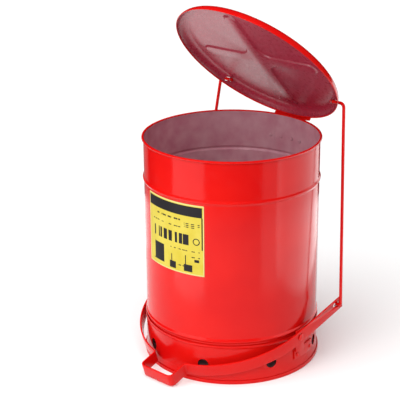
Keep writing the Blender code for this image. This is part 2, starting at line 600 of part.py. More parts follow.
def pivots(lever, wall, mats, root, lever_axis):
    tab_outer = STRAP_RADIUS - STRAP_THICK / 2 - LEVER_PLAY - WASHER_THICK - CLEAR
    tab_inner = tab_outer - BRACKET_THICK
    foot_inner = SKIRT_RADIUS + CLEAR
    for side, letter in ((1, "right"), (-1, "left")):
        start = BRACKET_FOOT_START if side > 0 else math.pi - BRACKET_FOOT_START - BRACKET_FOOT_ANGLE
        foot = turned("pivot_bracket_" + letter,
                      [(foot_inner, BRACKET_FOOT_HIGH), (foot_inner, BRACKET_FOOT_LOW)],
                      mats["red_enamel"], root, wall=BRACKET_THICK, outward=True,
                      sweep=BRACKET_FOOT_ANGLE, start=start, steps=6)
        near = PIVOT_Y - BRACKET_HALF_WIDTH + 0.006
        far = PIVOT_Y + BRACKET_HALF_WIDTH + 0.006
        shelf_inner, shelf_outer = sorted((side * (foot_inner + BRACKET_THICK / 2),
                                           side * (tab_outer - JOIN_INSET)))
        shelf = box("pivot_shelf_" + letter,
                    (shelf_inner, near + JOIN_INSET, BRACKET_SHELF + JOIN_INSET),
                    (shelf_outer, far - JOIN_INSET, BRACKET_SHELF + BRACKET_THICK),
                    None, root, as_cutter=True)
        tab = box("pivot_tab_" + letter, (min(side * tab_inner, side * tab_outer), near, BRACKET_SHELF),
                  (max(side * tab_inner, side * tab_outer), far, PIVOT_HEIGHT + BRACKET_TOP),
                  None, root, as_cutter=True)
        boolean(foot, shelf, "UNION")
        boolean(foot, tab, "UNION")
        bore = bar("pivot_bore_" + letter, PIVOT_PIN_RADIUS + PIVOT_PIN_PLAY,
                   (side * (tab_inner - 0.002), PIVOT_Y, PIVOT_HEIGHT),
                   (side * (STRAP_RADIUS + 0.010), PIVOT_Y, PIVOT_HEIGHT), None, root, as_cutter=True)
        boolean(foot, bore)
        boolean(lever, bore)
        face = side * (STRAP_RADIUS + STRAP_THICK / 2 + CLEAR)
        grip = STRAP_THICK + LEVER_PLAY + WASHER_THICK + BRACKET_THICK + 3 * CLEAR
        fastener("pivot_pin_" + letter, PIVOT_PIN_RADIUS, PIVOT_HEAD_RADIUS, PIVOT_HEAD_THICK,
                 PIVOT_HEAD_RADIUS * 0.8, grip, (face, PIVOT_Y, PIVOT_HEIGHT), (side, 0.0, 0.0),
                 mats["zinc_steel"], root, 24)
        washer("pivot_washer_" + letter, PIVOT_PIN_RADIUS + PIVOT_PIN_PLAY, PIVOT_HEAD_RADIUS,
               side * (tab_outer + CLEAR), side * (tab_outer + CLEAR + WASHER_THICK),
               PIVOT_Y, PIVOT_HEIGHT, mats["zinc_steel"], root)
        for i, share in enumerate((0.14, 0.88)):
            angle = start + BRACKET_FOOT_ANGLE * (share if side > 0 else 1 - share)
            rivet_through("bracket_rivet_%s_%d" % (letter, i + 1), (wall, foot),
                          radial(angle, foot_inner + BRACKET_THICK + 0.0003,
                                 (BRACKET_FOOT_LOW + BRACKET_SHELF) / 2),
                          radial(angle, 1.0, 0.0), SKIRT_WALL + BRACKET_THICK + 2 * CLEAR + 0.0007,
                          mats, root)


def washer(name, inner, outer, x_first, x_last, y, z, mat, parent, sides=24):
    """A flat ring round an axis along X."""
    low, high = sorted((x_first, x_last))
    profile = [(inner, high - low), (outer, high - low), (outer, 0.0), (inner, 0.0)]
    ring = turned(name, profile, mat, parent, closed=True, steps=sides)
    ring.rotation_mode = "QUATERNION"
    ring.rotation_quaternion = Vector((1.0, 0.0, 0.0)).to_track_quat("Z", "Y")
    ring.location = ring.location + Vector((low, y, z))
    return ring


def top_clip_x():
    """Where a top clip's near face clears the lid's slanting wall all round."""
    seats = []
    for i in range(16):
        angle = math.tau * i / 16
        y = HOOK_Y + CLIP_RADIUS * math.cos(angle)
        rise = HOOK_Z + CLIP_RADIUS * math.sin(angle) - LID_CORNER_Z
        wall = LID_CORNER_R + math.sqrt((LID_CORNER - LID_WALL) ** 2 - rise ** 2)
        seats.append(math.sqrt((wall - TOP_CLIP_SEAT) ** 2 - y ** 2))
    return min(seats)


def link_rods(lever, mats, root):
    """Round rods from the lid's link holes down to the slots in the lever's arms."""
    top_clip = top_clip_x()
    for side, letter in ((1, "right"), (-1, "left")):
        rod_axis = axis_empty("link_axis_" + letter, HOOK_OPEN, 0.0, root)
        eye_face = arm_x(EYE_REACH)
        slot = bar("eye_slot_" + letter, EYE_HALF,
                   (side * (eye_face - 0.012), EYE.y, EYE.z + EYE_LIFT),
                   (side * (eye_face + 0.012), EYE.y, EYE.z + EYE_LIFT), None, root, 20,
                   stretch=(0.0, -EYE_TRAVEL, 0.0), as_cutter=True)
        boolean(lever, slot)
        foot_x = eye_face + STRAP_THICK / 2 + ROD_STAND_OFF + ROD_RADIUS
        top_in = top_clip - ROD_TAIL_PAST
        foot_in = eye_face - STRAP_THICK / 2 - CLIP_GAP - ROD_TAIL_PAST
        route = rounded([(side * top_in, HOOK_OPEN.y, HOOK_OPEN.z),
                         (side * ROD_TOP_X, HOOK_OPEN.y, HOOK_OPEN.z),
                         (side * foot_x, EYE.y, EYE.z), (side * foot_in, EYE.y, EYE.z)],
                        (ROD_BEND, ROD_BEND * 0.45), 6)
        rod = tube("link_rod_" + letter, route, ROD_RADIUS, mats["red_enamel"], rod_axis)
        shade_round(rod)
        bore = ROD_RADIUS + CLIP_BORE_PLAY
        washer("link_clip_top_" + letter, bore, CLIP_RADIUS, side * top_clip,
               side * (top_clip - CLIP_THICK), HOOK_OPEN.y, HOOK_OPEN.z, mats["zinc_steel"],
               rod_axis, 16)
        foot_clip = eye_face - STRAP_THICK / 2 - CLIP_GAP
        washer("link_clip_foot_" + letter, bore, CLIP_RADIUS + 0.0016, side * foot_clip,
               side * (foot_clip - CLIP_THICK), EYE.y, EYE.z, mats["zinc_steel"], rod_axis, 16)


def centre_on_origin(root):
    """Slide the bin along Y until its box is centred on the origin."""
    bpy.context.view_layer.update()
    graph = bpy.context.evaluated_depsgraph_get()
    ys = []
    for obj in collections["parts"].objects:
        if obj.type != "MESH":
            continue
        shape = obj.evaluated_get(graph)
        ys += [(shape.matrix_world @ vert.co).y for vert in shape.data.vertices]
    root.location.y = -(min(ys) + max(ys)) / 2


def main():
    clear_scene()
    make_collection("parts", "foot_operated_waste_bin")
    make_collection("cutters", "cutters")
    mats = {
        "red_enamel": make_material("red_enamel", (0.75, 0.02, 0.015), 0.3, 0.0),
        "galvanised": make_material("galvanised", (0.62, 0.58, 0.58), 0.35, 0.9),
        "zinc_steel": make_material("zinc_steel", (0.55, 0.55, 0.56), 0.35, 1.0),
        "label_yellow": make_material("label_yellow", (0.85, 0.68, 0.12), 0.4, 0.0),
    }
    root = bpy.data.objects.new("bin_origin", None)
    collections["parts"].objects.link(root)
    hinge_axis = axis_empty("lid_hinge_axis", HINGE, -OPEN_ANGLE, root)
    lever_axis = axis_empty("lever_pivot_axis", PIVOT, LEVER_SLOPE, root)
    shell = drum(mats, root)
    wall = skirt(mats, root)
    label(mats, root)
    body_hinge(shell, mats, root)
    pan = lid(mats, hinge_axis)
    lid_hinge(pan, mats, hinge_axis)
    lever = foot_lever(mats, lever_axis)
    pivots(lever, wall, mats, root, lever_axis)
    link_rods(lever, mats, root)
    for obj in collections["parts"].objects:
        if obj.type == "MESH":
            shade_round(obj)
    centre_on_origin(root)


main()
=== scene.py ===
"""A foot-operated steel waste bin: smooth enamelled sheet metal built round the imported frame.

Lengths are in metres. Turned pieces share the drum's axis, the lid is modelled shut and then
swung open about its hinge, and the foot lever is modelled level and then sloped at its pivot.
"""

import json
import math

import bmesh
import bpy
from mathutils import Matrix, Vector


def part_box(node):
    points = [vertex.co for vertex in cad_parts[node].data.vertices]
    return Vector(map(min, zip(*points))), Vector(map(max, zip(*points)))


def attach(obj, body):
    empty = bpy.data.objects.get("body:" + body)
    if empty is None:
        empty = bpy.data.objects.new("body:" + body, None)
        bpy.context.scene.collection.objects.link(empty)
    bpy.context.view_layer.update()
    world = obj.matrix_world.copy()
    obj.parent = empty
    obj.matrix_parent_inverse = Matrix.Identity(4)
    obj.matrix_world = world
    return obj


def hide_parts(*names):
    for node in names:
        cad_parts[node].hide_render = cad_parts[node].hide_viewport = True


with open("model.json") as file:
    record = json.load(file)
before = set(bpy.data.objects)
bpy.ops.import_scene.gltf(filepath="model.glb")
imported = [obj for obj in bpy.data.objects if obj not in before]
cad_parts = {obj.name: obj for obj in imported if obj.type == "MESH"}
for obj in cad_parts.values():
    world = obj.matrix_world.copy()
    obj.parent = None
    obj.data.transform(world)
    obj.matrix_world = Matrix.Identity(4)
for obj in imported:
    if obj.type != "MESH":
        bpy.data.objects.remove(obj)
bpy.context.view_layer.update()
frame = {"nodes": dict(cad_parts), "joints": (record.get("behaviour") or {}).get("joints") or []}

# ------------------------------------------------------------ places read from the frame
joints = {joint["name"]: joint for joint in frame["joints"]}
ring_low, ring_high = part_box("base_ring")
drum_low, drum_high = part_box("drum_shell")
skirt_low, skirt_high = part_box("base_skirt")
rod_low, rod_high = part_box("link_rod_right")
AXIS_Y = (ring_low.y + ring_high.y) / 2
HINGE = Vector(joints["lid_hinge"]["pos_m"])
PIVOT = Vector(joints["lever_pivot"]["pos_m"])
HOOK = Vector(joints["link_right_hook"]["pos_m"])
OPEN_ANGLE = math.radians(joints["lid_hinge"]["range_deg"][1])

# ------------------------------------------------------------ sheet metal sizes
RING_POINTS = 256                  # points round each turned piece
SMALL_POINTS = 48                  # points round a nut, a washer or a small hole
SHEET = 0.001
CREASE = 35.0                      # degrees; a sharper edge stays crisp
SAME = 0.000001                    # two places nearer than this are one

RIM_Z = drum_high.z
RIM_ROLL = 0.0025
ROLL_R = drum_high.x - RIM_ROLL    # middle of the rolled rim
ROLL_Z = RIM_Z - RIM_ROLL
DRUM_R = ROLL_R - 0.001            # outside of the drum wall
DRUM_INSIDE = DRUM_R - SHEET
BEAD_OUT = 0.0025
BEAD_HALF = 0.0055
BEAD_SHARPNESS = 1.4
UPPER_BEAD_Z = RIM_Z - 0.082
LOWER_BEAD_Z = 0.089
PAN_CORNER = 0.003
POLE_R = 0.0008                    # ring that closes to the middle of the floor

SEAM_ANGLE = math.radians(99.5)    # inner lap seam, from +X towards +Y
SEAM_WIDTH = 0.007
SEAM_THICK = 0.0004
SEAM_GAP = 0.010                   # left free above and below a bead
SEAM_RIM_GAP = 0.008

SKIRT_R = DRUM_R + 0.0016
SKIRT_TOP = skirt_high.z
SKIRT_EDGE_R = 0.0016
HEM_OUT = 0.0013
HEM_R = 0.0022
HEM_WAIST = 0.0062                 # below the skirt's top; the hem fades into the wall here
HEM_FOOT = 0.0075
FLARE_R = skirt_high.x
FLARE_Z = 0.026
VENT_R = 0.011
VENT_Z = 0.037
VENT_COUNT = 8
VENT_ROLL = math.radians(1.3)      # keeps a vent's corners off the wall's own edges

RING_WIDTH = 0.0055
RING_WALL = 0.0017
RING_INSIDE_Z = 0.006
RING_GROOVE_Z = 0.0027
RING_EASE = 0.0009
LEDGE_EASE = 0.0007

LID_CORNER = 0.021                 # outside radius of the lid's rounded edge
LID_HEM_R = 0.00085
HEM_START = 0.0012                 # above the lip, where the hem begins
HEM_END = 0.0025
RIB_HALF = 0.0165
RIB_DEPTH = 0.0035
RIB_SLOPE = 0.0055                 # width of a rib's sloping side
RIB_END_GAP = 0.037                # from the lid's edge to the end of a rib
RIB_FILLET = 0.022                 # radius where two ribs meet
LINK_HOLE_R = 0.0043
HOOK_OUT = 0.72                    # how far out on the rounded edge the rods hook in

STRAP_WIDTH = 0.0254
STRAP_THICK = 0.0032
STRAP_EASE = 0.0006
STRAP_R = DRUM_R + 0.0125
BOW_POINTS = 240                   # round the whole ellipse
PEDAL_HALF = 0.0395
PEDAL_OUT = 0.037
PEDAL_Z = 0.0145
PEDAL_BEND = 0.009
ROOT_BEND = 0.0048
ROOT_GAP = 0.004                   # bow left off beside the pedal's root
ARM_SPLAY = 0.0065
EYE_REACH = 0.68 * DRUM_R
ARM_TAIL = 0.011
EYE_TRAVEL = 0.0108
EYE_HALF = 0.0050
EYE_LIFT = 0.0010
PIN_HOLE_R = 0.0044

ROD_R = 0.0032
ROD_EASE = 0.0005
ROD_BEND = 0.009
ROD_FOOT_BEND = 0.00405
ROD_TOP_X = rod_low.x + 0.0315     # upper bend, past the hook's inner end
ROD_FOOT_TAIL = 0.0149             # length of the hook at the rod's foot

RIVET_HEAD = 0.0045
RIVET_SHANK = 0.0023
RIVET_DOME = 0.0018
HINGE_ROD_HEAD = 0.0042
HINGE_ROD_R = 0.0025
HINGE_ROD_DOME = 0.0016
STUD_HEAD = 0.0072
STUD_R = 0.0040
STUD_DOME = 0.0028
WASHER_EASE = 0.0002
PLATE_EASE = 0.00035
LABEL_THICK = 0.0004

# ------------------------------------------------------------ studio
CAMERA_TURN = math.radians(41.0)   # round the bin from its pedal side
CAMERA_OUT = 2.2136
CAMERA_UP = 1.1283
CAMERA_PAN = 0.0283
CAMERA_TILT = 0.352
CAMERA_ROLL = -0.0092
CAMERA_LENS = 107.1
NEAR_FLOOR_R = 0.95                # the only part of the floor that shows as a reflection
FAR_FLOOR_R = 15.0
FLOOR_POINTS = 96


# ------------------------------------------------------------ modelling steps
def place_of(x, y, z):
    return Vector((x, AXIS_Y + y, z))


def open_lid_turn():
    """The turn from shut to open, about the hinge."""
    to_hinge = Matrix.Translation(HINGE)
    return to_hinge @ Matrix.Rotation(-OPEN_ANGLE, 4, "X") @ to_hinge.inverted()


def select_only(piece):
    bpy.ops.object.select_all(action="DESELECT")
    bpy.context.view_layer.objects.active = piece
    piece.select_set(True)


def begin(name):
    """Name the primitive just added and start shaping it, all of it selected."""
    piece = bpy.context.active_object
    piece.name = name
    piece.data.name = name
    bpy.ops.object.transform_apply(location=True, rotation=True, scale=True)
    bpy.ops.object.mode_set(mode="EDIT")
    bpy.ops.mesh.select_all(action="SELECT")
    return piece


def edit(piece):
    select_only(piece)
    bpy.ops.object.mode_set(mode="EDIT")


def pick(piece, kind, wanted):
    """Select, in edit mode, only the vertices, edges or faces for which wanted is true."""
    bpy.ops.mesh.select_all(action="DESELECT")
    bpy.ops.mesh.select_mode(type={"verts": "VERT", "edges": "EDGE", "faces": "FACE"}[kind])
    mesh = bmesh.from_edit_mesh(piece.data)
    for element in getattr(mesh, kind):
        if wanted(element):
            element.select_set(True)
    mesh.select_flush_mode()
    bmesh.update_edit_mesh(piece.data)


def middle(element):
    """Middle of an edge or a face."""
    total = Vector()
    for vert in element.verts:
        total += vert.co
    return total / len(element.verts)


def is_border(edge):
    return len(edge.link_faces) < 2


def close_up(piece):
    """Merge doubles, point the faces outwards and leave edit mode with smooth shading."""
    bpy.ops.mesh.select_all(action="SELECT")
    bpy.ops.mesh.remove_doubles(threshold=5 * SAME)
    bpy.ops.mesh.normals_make_consistent(inside=False)
    bpy.ops.object.mode_set(mode="OBJECT")
    smooth(piece)


def smooth(piece):
    select_only(piece)
    bpy.ops.object.shade_smooth_by_angle(angle=math.radians(CREASE))


def point_outwards(piece):
    """Turn a closed shell's faces round if its volume comes out negative."""
    mesh = bmesh.new()
    mesh.from_mesh(piece.data)
    inside_out = mesh.calc_volume(signed=True) < 0.0
    mesh.free()
    if inside_out:
        piece.data.flip_normals()


def move_to(piece, matrix):
    """Put a finished piece in place and apply that to its mesh."""
    select_only(piece)
    piece.matrix_world = matrix @ piece.matrix_world
    bpy.ops.object.transform_apply(location=True, rotation=True, scale=True)


def apply_modifier(piece, kind, **settings):
    select_only(piece)
    modifier = piece.modifiers.new(kind.title(), kind)
    for key, value in settings.items():
        setattr(modifier, key, value)
    bpy.ops.object.modifier_apply(modifier=modifier.name)


def cut(piece, cutter):
    apply_modifier(piece, "BOOLEAN", operation="DIFFERENCE", object=cutter, solver="EXACT")
    bpy.data.objects.remove(cutter, do_unlink=True)


def soften(piece, width, segments=2, angle=CREASE):
    apply_modifier(piece, "BEVEL", width=width, segments=segments, limit_method="ANGLE",
                   angle_limit=math.radians(angle), harden_normals=False)
    select_only(piece)
    bpy.ops.object.shade_smooth_by_angle(angle=math.radians(angle))


def give_wall(piece, thickness=SHEET):
    """Thicken an open sheet inwards, away from its faces."""
    apply_modifier(piece, "SOLIDIFY", thickness=thickness, offset=-1.0, use_even_offset=True)


def arc(centre_r, centre_z, radius, first, last, steps):
    """(radius, z) points along an arc; angles in degrees, from +R towards +Z."""
    angles = [math.radians(first + (last - first) * i / steps) for i in range(steps + 1)]
    return [(centre_r + radius * math.cos(a), centre_z + radius * math.sin(a)) for a in angles]


def turn(name, profile, points=RING_POINTS, centre_y=AXIS_Y, ends="open"):
    """Extrude and scale a ring from one (radius, z) to the next. ends: open, joined or capped."""
    radius, z = profile[0]
    bpy.ops.object.select_all(action="DESELECT")
    bpy.ops.mesh.primitive_circle_add(vertices=points, radius=radius, location=(0, centre_y, z))
    piece = begin(name)
    bpy.ops.mesh.select_mode(type="EDGE")
    for next_radius, next_z in profile[1:]:
        bpy.ops.mesh.extrude_edges_move(TRANSFORM_OT_translate={"value": (0, 0, next_z - z)})
        share = next_radius / radius
        bpy.ops.transform.resize(value=(share, share, 1.0), center_override=(0, centre_y, next_z))
        radius, z = next_radius, next_z
    if ends == "joined":
        pick(piece, "edges", is_border)
        bpy.ops.mesh.bridge_edge_loops()
    if ends == "capped":
        for end_z in (profile[0][1], profile[-1][1]):
            pick(piece, "edges", lambda e, at=end_z: is_border(e) and abs(middle(e).z - at) < SAME)
            bpy.ops.mesh.edge_face_add()
    close_up(piece)
    return piece


def round_bar(name, radius, length, points=40):
    """A plain bar along Z from the origin, for cutting holes."""
    bpy.ops.object.select_all(action="DESELECT")
    bpy.ops.mesh.primitive_cylinder_add(vertices=points, radius=radius, depth=length)
    bar = begin(name)
    bpy.ops.object.mode_set(mode="OBJECT")
    return bar


def along(direction, place):
    """A matrix that takes +Z to direction and the origin to place."""
    turned = Vector(direction).to_track_quat("Z", "Y").to_matrix().to_4x4()
    return Matrix.Translation(Vector(place)) @ turned


def axis_span(node, direction):
    """Where a CAD pin's axis enters and leaves it, going along direction."""
    direction = Vector(direction).normalized()
    points = [vert.co for vert in frame["nodes"][node].data.vertices]
    centre = sum(points, Vector()) / len(points)
    reach = [(point - centre).dot(direction) for point in points]
    return centre + direction * min(reach), centre + direction * max(reach)


def own_copy(piece, name):
    """A copy with a mesh of its own."""
    copy = bpy.data.objects.new(name, piece.data.copy())
    copy.data.name = name
    bpy.context.scene.collection.objects.link(copy)
    return copy


def mirrored_copy(piece, name):
    """The same piece for the other side, with its faces turned outwards again."""
    copy = own_copy(piece, name)
    copy.data.transform(Matrix.Scale(-1.0, 4, (1, 0, 0)))
    copy.data.flip_normals()
    return copy


def copies_at(pattern, places):
    """Copies of a piece modelled at the origin, one for each (name, matrix)."""
    made = []
    for name, matrix in places:
        copy = own_copy(pattern, name)
        move_to(copy, matrix)
        made.append(copy)
    bpy.data.objects.remove(pattern, do_unlink=True)
    return made


def coat_with(piece, *materials):
    for material in materials:
        piece.data.materials.append(material)


def hang(piece, body, slot, *nodes):
    """Hang a piece on its body and let it stand for its CAD nodes."""
    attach(piece, body)
    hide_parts(*nodes)


def softened_copy(name, node, width):
    """A CAD piece's own shape, merged, with its edges eased."""
    piece = own_copy(frame["nodes"][node], name)
    piece.data.materials.clear()
    edit(piece)
    bpy.ops.mesh.select_all(action="SELECT")
    bpy.ops.mesh.remove_doubles(threshold=5 * SAME)
    bpy.ops.mesh.dissolve_limited(angle_limit=math.radians(1.0))
    bpy.ops.object.mode_set(mode="OBJECT")
    soften(piece, width)
    return piece


# ------------------------------------------------------------ finishes
class Finish:
    """A Principled material with short ways to add and join nodes."""

    def __init__(self, name, colour, roughness, metallic=0.0):
        self.material = bpy.data.materials.new(name)
        self.material.use_nodes = True
        self.nodes = self.material.node_tree.nodes
        self.links = self.material.node_tree.links
        self.shader = self.nodes["Principled BSDF"]
        self.shader.inputs["Base Color"].default_value = (*colour, 1.0)
        self.shader.inputs["Roughness"].default_value = roughness
        self.shader.inputs["Metallic"].default_value = metallic
        self.material.diffuse_color = (*colour, 1.0)
        self.place = self.nodes.new("ShaderNodeTexCoord").outputs["Object"]

    def noise(self, scale, detail=3.0, stretch=(1.0, 1.0, 1.0)):
        mapping = self.nodes.new("ShaderNodeMapping")
        mapping.inputs["Scale"].default_value = stretch
        self.links.new(self.place, mapping.inputs["Vector"])
        texture = self.nodes.new("ShaderNodeTexNoise")
        texture.inputs["Scale"].default_value = scale
        texture.inputs["Detail"].default_value = detail
        self.links.new(mapping.outputs["Vector"], texture.inputs["Vector"])
        return texture.outputs["Fac"]

    def ramp(self, value, low, high, first, last):
        """value from low to high becomes first to last."""
        node = self.nodes.new("ShaderNodeMapRange")
        node.inputs["From Min"].default_value = low
        node.inputs["From Max"].default_value = high
        node.inputs["To Min"].default_value = first
        node.inputs["To Max"].default_value = last
        self.links.new(value, node.inputs["Value"])
        return node.outputs["Result"]

    def maths(self, operation, first, second=None, third=None):
        node = self.nodes.new("ShaderNodeMath")
        node.operation = operation
        for slot_index, value in enumerate((first, second, third)):
            if value is None:
                continue
            if isinstance(value, (int, float)):
                node.inputs[slot_index].default_value = value
            else:
                self.links.new(value, node.inputs[slot_index])
        return node.outputs["Value"]

    def mix(self, share, first, last):
        node = self.nodes.new("ShaderNodeMix")
        node.data_type = "RGBA"
        for key, value in (("A", first), ("B", last)):
            socket = [s for s in node.inputs if s.name == key and s.type == "RGBA"][0]
            if isinstance(value, tuple):
                socket.default_value = (*value, 1.0)
            else:
                self.links.new(value, socket)
        self.links.new(share, [s for s in node.inputs if s.name == "Factor"][0])
        return [s for s in node.outputs if s.type == "RGBA"][0]

    def set(self, socket, value):
        self.links.new(value, self.shader.inputs[socket])

    def bump(self, height, strength, distance):
        node = self.nodes.new("ShaderNodeBump")
        node.inputs["Strength"].default_value = strength
        node.inputs["Distance"].default_value = distance
        self.links.new(height, node.inputs["Height"])
        self.links.new(node.outputs["Normal"], self.shader.inputs["Normal"])


def red_enamel():
    """Glossy baked enamel: faint orange peel, slight depth changes, dull specks all over."""
    paint = Finish("red_enamel", (0.58, 0.004, 0.003), 0.16)
    paint.shader.inputs["Specular IOR Level"].default_value = 0.22
    depth = paint.ramp(paint.noise(9.0, 2.0), 0.35, 0.65, 0.0, 1.0)
    paint.set("Base Color", paint.mix(depth, (0.57, 0.003, 0.003), (0.63, 0.006, 0.004)))
    dull = paint.ramp(paint.noise(60.0, 5.0), 0.55, 0.75, 0.0, 0.10)
    paint.set("Roughness", paint.maths("ADD", dull, 0.15))
    paint.bump(paint.noise(420.0, 1.0), 0.06, 0.0004)
    return paint.material


def lid_underside():
    """The satin wine-red coat under the lid."""
    coat = Finish("lid_underside", (0.30, 0.020, 0.045), 0.30)
    coat.shader.inputs["IOR"].default_value = 1.9
    coat.shader.inputs["Specular IOR Level"].default_value = 0.45
    cloud = coat.ramp(coat.noise(7.0, 4.0), 0.3, 0.7, 0.0, 1.0)
    coat.set("Base Color", coat.mix(cloud, (0.30, 0.014, 0.034), (0.36, 0.024, 0.050)))
    coat.set("Roughness", coat.ramp(coat.noise(120.0, 4.0), 0.3, 0.7, 0.24, 0.34))
    coat.bump(coat.noise(90.0, 2.0), 0.02, 0.0003)
    return coat.material


def drum_inside():
    """Galvanised sheet under a thin red wash, with cloudy spangle and upright rolling marks."""
    coat = Finish("drum_inside", (0.60, 0.30, 0.36), 0.34, 0.45)
    spangle = coat.ramp(coat.noise(38.0, 5.0), 0.3, 0.7, 0.0, 1.0)
    coat.set("Base Color", coat.mix(spangle, (0.64, 0.28, 0.35), (0.74, 0.42, 0.48)))
    marks = coat.noise(60.0, 3.0, (1.0, 1.0, 0.08))
    coat.set("Roughness", coat.ramp(marks, 0.3, 0.7, 0.28, 0.40))
    coat.bump(coat.noise(90.0, 3.0), 0.04, 0.0004)
    return coat.material


def zinc():
    """Zinc-plated steel with a cloudy, finely scratched skin."""
    metal = Finish("zinc_plate", (0.62, 0.62, 0.64), 0.32, 1.0)
    cloud = metal.ramp(metal.noise(180.0, 4.0), 0.3, 0.7, 0.0, 1.0)
    metal.set("Base Color", metal.mix(cloud, (0.50, 0.50, 0.52), (0.72, 0.72, 0.73)))
    metal.set("Roughness", metal.ramp(metal.noise(900.0, 2.0), 0.3, 0.7, 0.24, 0.44))
    return metal.material


# ------------------------------------------------------------ drum and base
def bead(height, radius):
    """(radius, z) points up over a swaged bead, a smooth hump in the wall."""
    steps = 12
    points = []
    for i in range(steps + 1):
        share = -1.0 + 2.0 * i / steps
        hump = (0.5 + 0.5 * math.cos(math.pi * share)) ** BEAD_SHARPNESS
        points.append((radius + BEAD_OUT * hump, height + share * BEAD_HALF))
    return points


def faces_axis(normal, centre):
    """True where a face looks towards the drum's axis."""
    out = Vector((centre.x, centre.y - AXIS_Y, 0.0))
    return normal.dot(out.normalized()) < -0.3


def coat_inside(piece, wanted):
    """Give the second material to the faces for which wanted(normal, centre) is true."""
    for face in piece.data.polygons:
        face.material_index = 1 if wanted(face.normal, face.center) else 0


def drum(paint, coat):
    profile = [(DRUM_INSIDE, drum_low.z)]
    profile += bead(LOWER_BEAD_Z, DRUM_INSIDE) + bead(UPPER_BEAD_Z, DRUM_INSIDE)
    profile += [(DRUM_INSIDE, RIM_Z - 0.012), (DRUM_INSIDE, ROLL_Z - RIM_ROLL)]
    profile += arc(ROLL_R, ROLL_Z, RIM_ROLL, 178.0, -96.0, 20)
    wall = turn("drum_wall", profile)
    give_wall(wall)
    coat_with(wall, paint, coat)
    below_rim = ROLL_Z - 0.001
    coat_inside(wall, lambda normal, centre: faces_axis(normal, centre) and centre.z < below_rim)
    hang(wall, "can", "red_enamel", "drum_shell")


def drum_floor(coat):
    low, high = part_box("floor_pan")
    profile = [(high.x, low.z)]
    profile += arc(high.x - PAN_CORNER, high.z - PAN_CORNER, PAN_CORNER, 0.0, 90.0, 6)
    profile += [(high.x / 2, high.z), (POLE_R, high.z)]
    pan = turn("drum_floor_pan", profile)
    edit(pan)
    pick(pan, "edges", lambda e: is_border(e) and middle(e).z > high.z - 10 * SAME)
    bpy.ops.mesh.merge(type="CENTER")
    close_up(pan)
    give_wall(pan)
    coat_with(pan, coat)
    hang(pan, "can", "galvanised", "floor_pan")


def curved_plate(name, radius, low, high, start, sweep, steps, thickness):
    """A plate bent round the drum's axis: an upright strip, spun about it."""
    bpy.ops.object.select_all(action="DESELECT")
    bpy.ops.mesh.primitive_plane_add(size=1.0, rotation=(math.pi / 2, 0.0, start))
    strip = bpy.context.active_object
    strip.scale = (thickness, high - low, 1.0)
    reach = radius + thickness / 2
    strip.location = place_of(reach * math.cos(start), reach * math.sin(start), (low + high) / 2)
    begin(name)
    bpy.ops.mesh.spin(steps=steps, angle=-sweep, center=place_of(0, 0, 0), axis=(0, 0, 1))
    close_up(strip)
    return strip


def skirt(paint, coat):
    hem_middle = SKIRT_R + HEM_OUT - HEM_R
    profile = arc(SKIRT_R, SKIRT_TOP - SKIRT_EDGE_R, SKIRT_EDGE_R, 90.0, 45.0, 2)
    profile += arc(hem_middle, SKIRT_TOP - 2 * SKIRT_EDGE_R, HEM_R, 35.0, -35.0, 6)
    profile += [(SKIRT_R + 0.0002, SKIRT_TOP - HEM_WAIST), (SKIRT_R, SKIRT_TOP - HEM_FOOT)]
    profile += [(SKIRT_R, FLARE_Z + 0.002)]
    steps = 8
    for i in range(steps + 1):
        share = i / steps
        z = FLARE_Z - share * (FLARE_Z - ring_high.z - 0.001)
        profile.append((SKIRT_R + (FLARE_R - SKIRT_R) * share * share, z))
    profile.append((FLARE_R, skirt_low.z))
    wall = turn("base_skirt_wall", profile)
    give_wall(wall)
    for i in range(VENT_COUNT):
        angle = math.tau * (i + 0.5) / VENT_COUNT
        out = Vector((math.cos(angle), math.sin(angle), 0.0))
        vent = round_bar("vent", VENT_R, 0.03, 64)
        spot = place_of(out.x * SKIRT_R, out.y * SKIRT_R, VENT_Z)
        move_to(vent, along(out, spot) @ Matrix.Rotation(VENT_ROLL, 4, "Z"))
        cut(wall, vent)
    coat_with(wall, paint, coat)
    coat_inside(wall, faces_axis)
    hang(wall, "can", "red_enamel", "base_skirt")


def base_ring(paint):
    outer = ring_high.x
    inner = outer - RING_WIDTH
    groove = FLARE_R + 0.0004
    profile = arc(groove + LEDGE_EASE, ring_high.z - LEDGE_EASE, LEDGE_EASE, 170.0, 90.0, 4)
    profile += arc(outer - RING_EASE, ring_high.z - RING_EASE, RING_EASE, 90.0, 0.0, 5)
    profile += arc(outer - RING_EASE, RING_EASE, RING_EASE, 0.0, -90.0, 5)
    profile += [(inner, 0.0), (inner, RING_INSIDE_Z), (inner + RING_WALL, RING_INSIDE_Z),
                (inner + RING_WALL, RING_GROOVE_Z), (groove, RING_GROOVE_Z)]
    ring = turn("base_ring_channel", profile, ends="joined")
    coat_with(ring, paint)
    hang(ring, "can", "red_enamel", "base_ring")


def seam(coat):
    """The lap seam stands a little proud of the drum's inner wall, between the beads."""
    for name, low, high in (
            ("drum_lap_seam", LOWER_BEAD_Z + SEAM_GAP, UPPER_BEAD_Z - SEAM_GAP),
            ("drum_lap_seam_top", UPPER_BEAD_Z + SEAM_GAP, RIM_Z - SEAM_RIM_GAP)):
        strip = curved_plate(name, DRUM_INSIDE - 0.0005, low, high, SEAM_ANGLE,
                             SEAM_WIDTH / DRUM_R, 3, SEAM_THICK)
        soften(strip, 0.00015, 1)
        coat_with(strip, coat)
        hang(strip, "can", "galvanised")


# ------------------------------------------------------------ lid
def shut_height(node, pick_from):
    """Highest or lowest point of a lid node once it is swung shut."""
    shut = open_lid_turn().inverted()
    return pick_from((shut @ vert.co).z for vert in frame["nodes"][node].data.vertices)


